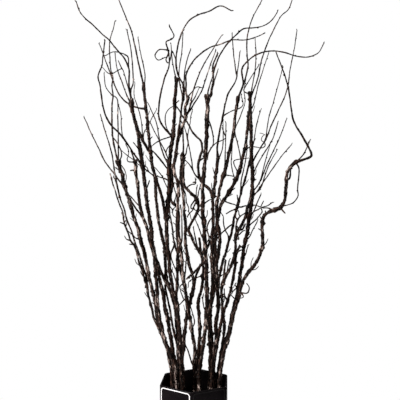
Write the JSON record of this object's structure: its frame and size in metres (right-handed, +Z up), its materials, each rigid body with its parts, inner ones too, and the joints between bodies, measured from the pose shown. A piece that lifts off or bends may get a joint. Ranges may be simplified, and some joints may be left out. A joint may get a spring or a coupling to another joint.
{
  "type": "willow stems in a vase",
  "caption": "Fan of cut, branching willow stems with fine curling twigs, standing in the mouth of a tall black hexagonal vase.",
  "frame": {"origin": "centre of the vase's base, on the surface it stands on", "axes": "+Z up along the vase, -Y towards the front, where one corner of the vase faces; +X to the right"},
  "size_m": [0.4716, 0.3492, 1.0751],
  "materials": {
    "glaze": "deep black glaze, high gloss, slightly softened and lighter along the edges",
    "bark": "dry dark brown bark with paler pinkish-brown streaks, matt, ridged and knotty"
  },
  "bodies": {
    "root": {"vase": "glaze", "stem_01": "bark", "stem_02": "bark", "stem_03": "bark", "stem_04": "bark", "stem_05": "bark", "stem_06": "bark", "stem_07": "bark", "stem_08": "bark", "stem_09": "bark", "stem_10": "bark", "stem_11": "bark", "stem_12": "bark", "stem_13": "bark", "stem_14": "bark", "stem_15": "bark", "stem_16": "bark", "stem_17": "bark", "stem_18": "bark", "stem_19": "bark", "stem_20": "bark"}
  },
  "joints": []
}
